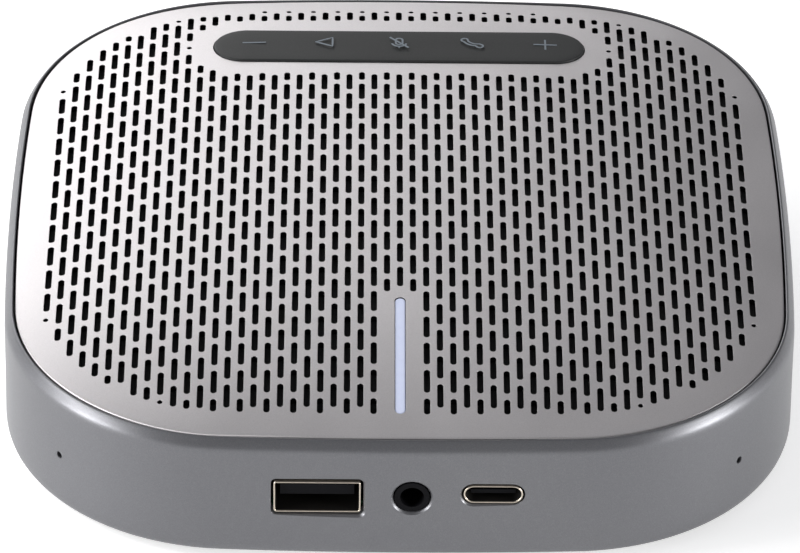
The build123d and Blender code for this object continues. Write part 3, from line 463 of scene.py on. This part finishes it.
def slot_list():
    """Every opening of the pattern as (x, y, length)."""
    found = [(x * MM, y * MM, DOT_D) for x, y in EXTRA_DOTS + BACK_DOTS]
    for column in range(-SLOT_COLUMNS, SLOT_COLUMNS + 1):
        x = column * SLOT_PITCH_X
        limit = outline_height(x, -SLOT_MARGIN)
        plain = [plain_span(x, area) for area in (STRIP_CLEAR, BAR_CLEAR, BAR_FOOT_CLEAR)]
        shift = SLOT_PITCH_Y / 2 * (column % 2)
        for row in range(-SLOT_ROWS, SLOT_ROWS + 1):
            middle = row * SLOT_PITCH_Y + shift
            low = max(middle - SLOT_L / 2, -limit)
            high = min(middle + SLOT_L / 2, limit)
            for span in filter(None, plain):
                if span[0] <= low < span[1]:
                    low = span[1]
                if span[0] < high <= span[1]:
                    high = span[0]
            length = high - low
            if length >= SLOT_W:
                found.append((x, (low + high) / 2, length))
            elif length >= DOT_MIN:
                found.append((x, (low + high) / 2, DOT_D))
    return found


def grille_openings():
    """Each opening as the arguments of stadium_ring: (x, y, length, width, along_x, steps)."""
    openings = []
    for x, y, length in slot_list():
        openings.append((x, y, max(length, DOT_D), min(SLOT_W, length), False, END_STEPS))
    openings.append((0, STRIP_Y, STRIP_L + STRIP_WINDOW, STRIP_W + STRIP_WINDOW, True, STRIP_END_STEPS))
    openings.append((0, BAR_Y, BAR_L, BAR_W, False, BAR_END_STEPS))
    return openings


def wall_normals(ring, x, y, length, width, along_x):
    """Normals of an opening's wall: from each point of its ring towards the slot's middle line."""
    half = max((length - width) / 2, 0)
    found = []
    for u, v in ring:
        if along_x:
            core_x, core_y = min(max(u - x, -half), half) + x, y
        else:
            core_x, core_y = x, min(max(v - y, -half), half) + y
        found.append(Vector((core_x - u, core_y - v, 0)).normalized())
    return found


def build_grille():
    """Domed sheet with every slot cut through it, its slot edges and rim slightly rounded, and the lower wall
    of each slot painted near black as shade.
    """
    openings = grille_openings()
    points, edges, owner = [], [], []
    add_ring(points, edges, owner, outline_ring(RIM_STEPS[0][0] * MM), RIM_MARK)
    rim_count = len(points)
    for mark, (x, y, length, width, along_x, steps) in enumerate(openings):
        grow = 2 * SLOT_EDGE
        add_ring(points, edges, owner, stadium_ring(x, y, length + grow, width + grow, along_x, steps), mark)
    ring_end = len(points)
    for grow in INNER_RINGS:
        for x, y in outline_ring(grow * MM, 24, 24):
            points.append(Vector((x, y)))
            owner.append(INNER_MARK)
    flat, keep = triangulate(points, edges, owner, 0)

    painted_shade_walls = set()
    vertices = [(x, y, dome_z(x, y)) for x, y in flat]
    normals = [dome_normal(x, y) for x, y in flat]
    faces = [tuple(t) for t in keep]
    top_count = len(vertices)

    def add_level(ring, drop, ring_normals):
        start = len(vertices)
        vertices.extend((x, y, dome_z(x, y) - drop) for x, y in ring)
        normals.extend(ring_normals)
        return start

    def join(upper, lower, count, inwards):
        for i in range(count):
            j = (i + 1) % count
            quad = (upper + i, upper + j, lower + j, lower + i)
            faces.append(quad if inwards else tuple(reversed(quad)))

    upper = 0
    for step, (grow, drop) in enumerate(RIM_STEPS[1:], 1):
        ring = outline_ring(grow * MM)
        share = min(step / RIM_TURN, 1)
        lean = [Vector((x, y, 0)).normalized() * share + Vector((0, 0, 1 - share)) for x, y in ring]
        lower = add_level(ring, drop * MM, [n.normalized() for n in lean])
        join(upper, lower, rim_count, False)
        upper = lower
    under = {i: upper + i for i in range(rim_count)}    # each top point's twin on the underside
    start = rim_count
    for x, y, length, width, along_x, steps in openings:
        ring = stadium_ring(x, y, length, width, along_x, steps)
        count = len(ring)
        inward = wall_normals(ring, x, y, length, width, along_x)
        edge = add_level(ring, SLOT_EDGE, inward)
        foot = add_level(ring, PLATE_T, inward)
        join(start, edge, count, True)
        painted_shade_walls.update(range(len(faces), len(faces) + count))
        join(edge, foot, count, True)
        under.update({start + i: foot + i for i in range(count)})
        start += count
    for i in range(ring_end, top_count):
        x, y, z = vertices[i]
        under[i] = len(vertices)
        vertices.append((x, y, z - PLATE_T))
        normals.append(Vector((0, 0, -1)))
    faces += [tuple(under[i] for i in reversed(t)) for t in keep]
    plate = piece("grille_plate", vertices, faces, "grille_aluminium", ["top_grille"], normals)
    # The lower wall of each slot takes the near-black painted shade colour.
    plate.data.materials.append(MATERIALS["slot_wall_painted_shade"])
    for index in painted_shade_walls:
        plate.data.polygons[index].material_index = 1


build_grille()

# ---------------------------------------------------------------- housing
RIM_Z = dome_z(0, PLATE_HALF)
USB_A = (-12.35 * MM, 12.8 * MM)    # socket centres on the front wall, as (x, z)
JACK = (1.85 * MM, 12.9 * MM)
USB_C = (14.0 * MM, 13.5 * MM)
MIC_ANGLE = radians(42.5)
MIC_Z = 11.4 * MM
MIC_STEPS = 20
# Each microphone hole from inside the wall outwards: distance from the corner's centre, and radius, in mm.
MIC_BORE = ((31, 0.55), (35.15, 0.55), (35.35, 0.66), (38, 0.66))
# The sockets' openings: centre, width, height, corner radius, and steps round each corner.
SOCKET_MOUTHS = (
    (USB_A, 13.8 * MM, 6.6 * MM, 0.8 * MM, 6),
    (USB_C, 9.44 * MM, 3.76 * MM, 1.879 * MM, 10),
    (JACK, 5.6 * MM, 5.6 * MM, 2.799 * MM, 10),
)
# Each opening from inside the wall outwards: y, and growth on each side, in mm.
MOUTH_FLARE = ((-55.0, 0.0), (-60.80, 0.0), (-60.98, 0.07), (-61.26, 0.36), (-61.6, 0.7), (-64.0, 0.7))
# The wall's section from the lip's inner edge, over the lip and down the outside, then up the inside:
# offset beyond the plate's outline, and height above the table (or below the rim where negative), in mm.
WALL_SECTION = [
    (0.30, -3.2), (0.30, -0.16), (0.33, -0.06), (0.40, -0.02), (0.52, -0.01), (0.62, -0.05), (0.74, -0.18),
    (0.95, -0.50), (1.15, -0.82), (1.33, -1.12), (1.47, -1.40), (1.57, -1.68), (1.64, -2.02), (1.68, -2.45),
    (1.71, -3.40), (1.76, 12.0), (1.84, 6.0), (1.87, 3.9), (1.83, 3.2), (1.70, 2.72), (1.48, 2.34),
    (1.20, 2.11), (0.88, 2.0), (0.0, 2.0), (-0.2, 2.0), (-0.2, 18.0), (-3.0, 18.0), (-3.0, 19.5), (0.0, 19.5),
]


def cutter(name, rings):
    """A closed solid through rings of equal length, kept only until it has cut the wall."""
    vertices, faces = skin(rings, (True, True))
    mesh = bpy.data.meshes.new(name)
    mesh.from_pydata([tuple(v) for v in vertices], [], faces)
    mesh.validate()
    obj = bpy.data.objects.new(name, mesh)
    bpy.context.scene.collection.objects.link(obj)
    face_outwards(mesh)
    return obj


def socket_cutters():
    """Openings through the front wall, each flared at its mouth."""
    made = []
    for (x, z), wide, high, radius, steps in SOCKET_MOUTHS:
        rings = []
        for y, side in MOUTH_FLARE:
            grow = 2 * side * MM
            ring = rounded_ring(wide + grow, high + grow, radius + grow / 2, steps)
            rings.append(facing_front(ring, x, y * MM, z))
        made.append(cutter("socket_cut", rings))
    return made


def mic_cutters():
    """A small round hole through the middle of each corner."""
    made = []
    up = Vector((0, 0, 1))
    turn = [2 * pi * i / MIC_STEPS for i in range(MIC_STEPS)]
    for sx, sy in QUADRANTS:
        out = Vector((cos(MIC_ANGLE) * sx, sin(MIC_ANGLE) * sy, 0))
        side = up.cross(out)
        middle = Vector((CORNER_C * sx, CORNER_C * sy, MIC_Z))
        rings = []
        for reach, radius in MIC_BORE:
            centre = middle + out * reach * MM
            rings.append([centre + (side * cos(a) + up * sin(a)) * radius * MM for a in turn])
        made.append(cutter("mic_cut", rings))
    return made


def build_housing():
    """The metallic wall all round, with its lip, soft bevel, rounded foot, sockets and microphone holes."""
    rings = []
    for out, height in WALL_SECTION:
        z = RIM_Z + height * MM if height < 0 else height * MM
        rings.append([(x, y, z) for x, y in outline_ring(out * MM, 24, 40)])
    vertices, faces = skin(rings, looped=True)
    obj = piece("housing_shell", vertices, faces, "body_metallic", ["housing", "socket_wall"])
    face_outwards(obj.data)
    for tool in socket_cutters() + mic_cutters():
        cut = obj.modifiers.new("cut", "BOOLEAN")
        cut.operation = "DIFFERENCE"
        cut.solver = "EXACT"
        cut.object = tool
        bpy.context.view_layer.update()
        cut_obj = obj.evaluated_get(bpy.context.evaluated_depsgraph_get())
        solid = bpy.data.meshes.new_from_object(cut_obj)
        obj.modifiers.remove(cut)
        obj.data = solid
        bpy.data.objects.remove(tool)
    for polygon in obj.data.polygons:
        polygon.use_smooth = True
    obj.data.set_sharp_from_angle(angle=radians(28))
    obj.data.materials.clear()
    obj.data.materials.append(MATERIALS["body_metallic"])


build_housing()


# ---------------------------------------------------------------- light bar and control strip
PAD_SHRINKS = (0.75, 0.5, 0.25, 0.0)    # how far each ring of a pad's top is drawn in, from the middle out
PAD_EDGE_STEPS = 6


def domed_pad(name, slot, replaced, y, length, width, along_x, rise, depth, edge, steps):
    """A round-ended pad at x 0 whose top follows the dome, rise above it, its rim rounded to radius edge."""
    rings = []
    for shrink in PAD_SHRINKS:
        reach = (1 - shrink) * (width / 2 - edge) * 2
        inner = stadium_ring(0, y, length - width + reach, reach, along_x, steps)
        rings.append([(u, v, dome_z(u, v) + rise) for u, v in inner])
    for i in range(1, PAD_EDGE_STEPS + 1):
        a = pi / 2 * i / PAD_EDGE_STEPS
        grow = 2 * edge * (1 - sin(a))
        ring = stadium_ring(0, y, length - grow, width - grow, along_x, steps)
        rings.append([(u, v, dome_z(u, v) + rise - edge * (1 - cos(a))) for u, v in ring])
    foot = stadium_ring(0, y, length, width, along_x, steps)
    rings.append([(u, v, dome_z(u, v) + rise - depth) for u, v in foot])
    vertices, faces = skin(rings[::-1], (True, True))
    return piece(name, vertices, faces, slot, replaced, smooth_angle=50)


domed_pad("strip_pad", "strip_plastic", ["control_strip"], STRIP_Y, STRIP_L, STRIP_W, along_x=True,
          rise=STRIP_PROUD, depth=3.0 * MM, edge=0.28 * MM, steps=32)
domed_pad("light_bar", "lens_plastic", ["light_bar_lens"], BAR_Y, LENS_L, LENS_W, along_x=False,
          rise=-0.12 * MM, depth=2.0 * MM, edge=0.18 * MM, steps=12)

# ---------------------------------------------------------------- cloth behind the slots
CLOTH_DROP = PLATE_T + 0.12 * MM
CLOTH_T = 0.2 * MM
CLOTH_SAG = 0.05 * MM
CLOTH_GROW = -4.5 * MM              # the cloth's edge, from the plate's outline
CLOTH_GAP = 1.2 * MM                # its cut-outs are this much longer and wider than the windows
CLOTH_STEP = 3.0 * MM               # inner points this far apart, CLOTH_REACH of them each way
CLOTH_REACH = 18
CLOTH_MARGIN = 1 * MM               # inner points keep this far from the edge
CLOTH_CLEAR = 2 * MM                # and this far from the windows


def cloth_points():
    """The cloth's inner points, clear of its edge and of the windows."""
    windows = ((STRIP_Y, STRIP_L / 2 + CLOTH_CLEAR, STRIP_W / 2 + CLOTH_CLEAR),
               (BAR_Y, BAR_W + CLOTH_CLEAR, BAR_L / 2 + CLOTH_CLEAR))
    steps = range(-CLOTH_REACH, CLOTH_REACH + 1)
    edge = CLOTH_GROW - CLOTH_MARGIN
    found = []
    for x in (i * CLOTH_STEP for i in steps):
        for y in (j * CLOTH_STEP for j in steps):
            inside = abs(y) < outline_height(x, edge) and abs(x) < outline_height(y, edge)
            if inside and not any(abs(x) < w and abs(y - v) < h for v, w, h in windows):
                found.append(Vector((x, y)))
    return found


def build_cloth():
    """The open-weave cloth stretched under the plate, cut out round the strip and the light bar."""
    rings = [
        outline_ring(CLOTH_GROW, 20, 20),
        stadium_ring(0, STRIP_Y, STRIP_L + CLOTH_GAP, STRIP_W + CLOTH_GAP, True, 16),
        stadium_ring(0, BAR_Y, BAR_L + CLOTH_GAP, BAR_W + CLOTH_GAP, False, 10),
    ]
    points, edges, owner = [], [], []
    for mark, ring in enumerate(rings):
        add_ring(points, edges, owner, ring, mark)
    inner = cloth_points()
    points += inner
    owner += [INNER_MARK] * len(inner)
    flat, keep = triangulate(points, edges, owner, 1)
    count = len(flat)
    vertices, faces = [], [tuple(t) for t in keep]
    for drop in (CLOTH_DROP, CLOTH_DROP + CLOTH_T):
        for x, y in flat:
            pull = CLOTH_SAG * (1 + sin(x / CLOTH_STEP * 1.3) * sin(y / CLOTH_STEP * 1.1)) / 2
            vertices.append((x, y, dome_z(x, y) - drop - pull))
    faces += [tuple(i + count for i in reversed(t)) for t in keep]
    start = 0
    for mark, ring in enumerate(rings):
        length = len(ring)
        for i in range(length):
            a, b = start + i, start + (i + 1) % length
            faces.append((a, a + count, b + count, b) if mark == 0 else (b, b + count, a + count, a))
        start += length
    cloth = piece("cloth_sheet", vertices, faces, "acoustic_cloth", ["acoustic_cloth"])


build_cloth()


# ---------------------------------------------------------------- socket shells
SHELL_T = 0.3 * MM
SHELL_MOUTH = -61.05 * MM       # y of the front edge
EDGE_NEAR = 0.04 * MM           # the rolled edge's rounding, in two steps back from the mouth
EDGE_FAR = 0.14 * MM
CORNER_MIN = 0.12 * MM


def build_shell(name, replaced, centre, size, corner, depth, steps):
    """A pressed steel socket shell with a rolled front edge, its inside wall painted near black as shade."""
    wide, high = size
    profile = [
        (-SHELL_T, SHELL_MOUTH + depth), (-SHELL_T, SHELL_MOUTH + EDGE_FAR),
        (-SHELL_T * 0.8, SHELL_MOUTH + EDGE_NEAR), (-SHELL_T / 2, SHELL_MOUTH),
        (-SHELL_T * 0.2, SHELL_MOUTH + EDGE_NEAR), (0, SHELL_MOUTH + EDGE_FAR), (0, SHELL_MOUTH + depth),
    ]
    rings = []
    for grow, y in profile:
        ring = rounded_ring(wide + 2 * grow, high + 2 * grow, max(corner + grow, CORNER_MIN), steps)
        rings.append(facing_front(ring, centre[0], y, centre[1]))
    vertices, faces = skin(rings, looped=True)
    shell = piece(name, vertices, faces, "bright_steel", replaced, smooth_angle=60)
    # The shell's inside wall takes the near-black painted shade colour.
    shell.data.materials.append(MATERIALS["shell_inside_painted_shade"])
    for index in range(len(rings[0])):
        shell.data.polygons[index].material_index = 1


build_shell("usb_a_rim", ["usb_a_shell"], USB_A, (13.1 * MM, 5.7 * MM), 0.5 * MM, 14.0 * MM, 6)
build_shell("usb_c_rim", ["usb_c_shell"], USB_C, (8.94 * MM, 3.26 * MM), 1.629 * MM, 7.4 * MM, 12)


# ---------------------------------------------------------------- printed icons
ICON_LINE = 0.3 * MM
ICON_PROUD = STRIP_PROUD + 0.02 * MM
ICON_FOOT = STRIP_PROUD - 0.05 * MM
ICON_Y = STRIP_Y + 0.55 * MM


def ribbon(points, closed):
    """A thin printed line through (x, y) points, lying on the strip's surface."""
    points = [Vector(p) for p in points]
    count = len(points)
    rings = []
    for i, here in enumerate(points):
        before = points[(i - 1) % count] if closed or i else here
        after = points[(i + 1) % count] if closed or i < count - 1 else here
        along = (after - before).normalized()
        across = Vector((-along.y, along.x)) * ICON_LINE / 2
        left, right = here + across, here - across
        rings.append([
            (*left, dome_z(*left) + ICON_PROUD), (*right, dome_z(*right) + ICON_PROUD),
            (*right, dome_z(*right) + ICON_FOOT), (*left, dome_z(*left) + ICON_FOOT)])
    return skin(rings, (not closed, not closed), closed)


def arc(x, y, radius, start, end, steps=14):
    """Points along an arc about (x, y), from start to end in degrees."""
    turn = [radians(start + (end - start) * i / steps) for i in range(steps + 1)]
    return [(x + radius * cos(a), y + radius * sin(a)) for a in turn]


def line(ax, ay, bx, by, steps=4):
    """Points along a straight stroke."""
    return [(ax + (bx - ax) * i / steps, ay + (by - ay) * i / steps) for i in range(steps + 1)]


def place_icon(parts, x, y):
    """Strokes drawn in mm about the icon's middle, moved to (x, y) in metres."""
    made = []
    for points, closed in parts:
        made.append(ribbon([(x + u * MM, y + v * MM) for u, v in points], closed))
    return made


def build_icons():
    """Minus, triangle, struck-through microphone, handset and plus."""
    triangle = line(-1.5, 0, 1.2, 1.5)[:-1] + line(1.2, 1.5, 1.2, -1.5)[:-1] + line(1.2, -1.5, -1.5, 0)[:-1]
    capsule = arc(0, 0.75, 0.55, 0, 180, 8) + arc(0, -0.35, 0.55, 180, 360, 8)
    cradle = arc(0, -0.35, 1.15, 190, 350)
    dash = line(-1.9, 0, 1.9, 0)
    handset = (arc(-1.35, 1.0, 0.55, 40, 230, 8) + arc(0.7, 1.35, 2.35, 205, 262, 10)
               + arc(1.05, -1.0, 0.55, 230, 400, 8) + arc(0.75, 1.35, 1.7, 280, 205, 10))
    microphone = [(capsule, True), (cradle, False), (line(0, -1.5, 0, -2.0), False),
                  (line(-1.5, 1.7, 1.5, -1.9), False)]
    parts = place_icon([(dash, False)], -23.5 * MM, ICON_Y)
    parts += place_icon([(triangle, True)], -12 * MM, ICON_Y)
    parts += place_icon(microphone, 0, ICON_Y)
    parts += place_icon([(handset, True)], 12 * MM, ICON_Y)
    parts += place_icon([(dash, False), (line(0, -1.7, 0, 1.7), False)], 23.7 * MM, ICON_Y)
    vertices, faces = merge(parts)
    piece("icon_lines", vertices, faces, "icon_print", ["strip_icons"])


build_icons()


# ---------------------------------------------------------------- loudspeaker's spider and surround
SPEAKER_Y = 4.0 * MM        # the loudspeaker's axis
SECTORS = 12                # each ring is made in this many parts, in SECTOR_STEPS steps each
SECTOR_STEPS = 5
# Sections of the rings, in mm.
SPIDER_SPAN = (7.15, 18.2)
SPIDER_LOW, SPIDER_HIGH = 14.05, 14.35
RIPPLE_START = 8.5
RIPPLE_STEP = 0.25          # radius from one point of a ripple to the next
RIPPLE_RISE = 0.25
RIPPLE_POINTS = 8
RIPPLES = 4
SURROUND_SPAN = (20.9, 27.3)
SURROUND_LOW, SURROUND_HIGH = 18.02, 18.32
ROLL_MIDDLE = 23.95
ROLL_STEPS = 12


def radial_sectors(node, slot, profile):
    """The ring turned from a closed (radius, height) profile, in separate sectors."""
    half = pi / SECTORS
    for sector in range(SECTORS):
        middle = 2 * half * sector
        rings = []
        for step in range(SECTOR_STEPS + 1):
            angle = middle - half + 2 * half * step / SECTOR_STEPS
            rings.append([(r * cos(angle), SPEAKER_Y + r * sin(angle), z) for r, z in profile])
        vertices, faces = skin(rings, closed_ends=(True, True))
        name = f"{node}_sector_{sector + 1:02d}"
        obj = piece(name, vertices, faces, slot, [node], body=None)
        face_outwards(obj.data)
        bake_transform(obj)


def build_spider():
    """A corrugated cloth ring from the coil's former out to the basket."""
    ripples = [(SPIDER_SPAN[0], 0)]
    for i in range(RIPPLES * RIPPLE_POINTS + 1):
        ripples.append((RIPPLE_START + RIPPLE_STEP * i, RIPPLE_RISE * sin(2 * pi * i / RIPPLE_POINTS)))
    ripples.append((SPIDER_SPAN[1], 0))
    lower = [(r * MM, (SPIDER_LOW + rise) * MM) for r, rise in ripples]
    upper = [(r * MM, (SPIDER_HIGH + rise) * MM) for r, rise in reversed(ripples)]
    radial_sectors("spider", "spider_cloth", lower + upper)


def roll(radius, low, high):
    """Half a roll's section, from its inner foot over the top to its outer foot."""
    turn = [pi * i / ROLL_STEPS for i in range(ROLL_STEPS + 1)]
    return [(ROLL_MIDDLE - radius * cos(a), low + (high - low) * sin(a)) for a in turn]


def build_surround():
    """A half roll of rubber from the cone's rim out to the basket's."""
    inner, outer = SURROUND_SPAN
    under = [(inner, SURROUND_LOW)] + roll(1.75, SURROUND_LOW, high=19.4) + [(outer, SURROUND_LOW)]
    over = [(inner, SURROUND_HIGH)] + roll(2.05, SURROUND_HIGH, high=19.75) + [(outer, SURROUND_HIGH)]
    section = [(r * MM, z * MM) for r, z in under + over[::-1]]
    radial_sectors("surround", "foot_rubber", section)


build_spider()
build_surround()


# ---------------------------------------------------------------- stage, light and camera
FLOOR_HALF = 3.0
FLOOR_WHITE = (0.92, 0.92, 0.92)
FLOOR_GLOW = 0.55
WORLD_COLOR = (0.95, 0.96, 1.0, 1)
WORLD_GLOW = 0.24


def build_stage():
    """A plain pale floor with a faint glow, as bright as the photograph's background."""
    mesh = bpy.data.meshes.new("floor")
    corners = [(sx * FLOOR_HALF, sy * FLOOR_HALF, 0) for sx, sy in ((-1, -1), (1, -1), (1, 1), (-1, 1))]
    mesh.from_pydata(corners, [], [(0, 1, 2, 3)])
    floor = bpy.data.objects.new("floor", mesh)
    bpy.context.scene.collection.objects.link(floor)
    material, _, _, shader = new_material("floor_paper", FLOOR_WHITE, 0.7)
    shader.inputs["Emission Color"].default_value = (1, 1, 1, 1)
    shader.inputs["Emission Strength"].default_value = FLOOR_GLOW
    mesh.materials.append(material)


def area_light(name, place, aim, size, power):
    """A soft box of the given size in metres and power in watts, turned to aim."""
    light = bpy.data.lights.new(name, "AREA")
    light.shape = "RECTANGLE"
    light.size, light.size_y = size
    light.energy = power
    obj = bpy.data.objects.new(name, light)
    obj.location = place
    obj.rotation_euler = (Vector(aim) - Vector(place)).to_track_quat("-Z", "Y").to_euler()
    bpy.context.scene.collection.objects.link(obj)


build_stage()
area_light("key_back_left", (-0.76, 1.38, 0.70), (0, 0, 0), (1.6, 1.1), 16)
area_light("side_left", (-1.3, -0.12, 0.8), (0, 0, 0.01), (0.55, 0.8), 14)
area_light("low_left", (-1.25, -0.5, 0.14), (0, 0, 0.01), (0.4, 0.4), 15)
area_light("low_right", (1.25, -0.5, 0.14), (0, 0, 0.01), (0.4, 0.4), 17)
world = bpy.data.worlds.new("studio")
world.use_nodes = True
background = world.node_tree.nodes["Background"]
background.inputs["Color"].default_value = WORLD_COLOR
background.inputs["Strength"].default_value = WORLD_GLOW
bpy.context.scene.world = world
bpy.context.scene.view_settings.view_transform = "Standard"

# The camera looks down at the front wall from a metre away through a long lens.
# CAMERA_TARGET is the grille's apex in the camera's own axes.
SENSOR = 36.0
LENS = 272.08
CAMERA_PITCH = radians(54.377)
CAMERA_YAW = radians(-0.5756)
CAMERA_ROLL = radians(0.7726)
CAMERA_TARGET = Vector((-0.0223, 14.4141, -945.0434)) * MM
camera_data = bpy.data.cameras.new("camera")
camera_data.sensor_width = SENSOR
camera_data.lens = LENS
camera_data.clip_start = 0.05
camera_data.clip_end = 20
camera = bpy.data.objects.new("camera", camera_data)
tilt = Matrix.Rotation(CAMERA_YAW, 3, "Z") @ Matrix.Rotation(CAMERA_PITCH, 3, "X")
tilt = tilt @ Matrix.Rotation(CAMERA_ROLL, 3, "Z")
camera_place = Vector((0, 0, APEX_Z)) - tilt @ CAMERA_TARGET
camera.matrix_world = Matrix.Translation(camera_place) @ tilt.to_4x4()
bpy.context.scene.collection.objects.link(camera)
bpy.context.scene.camera = camera
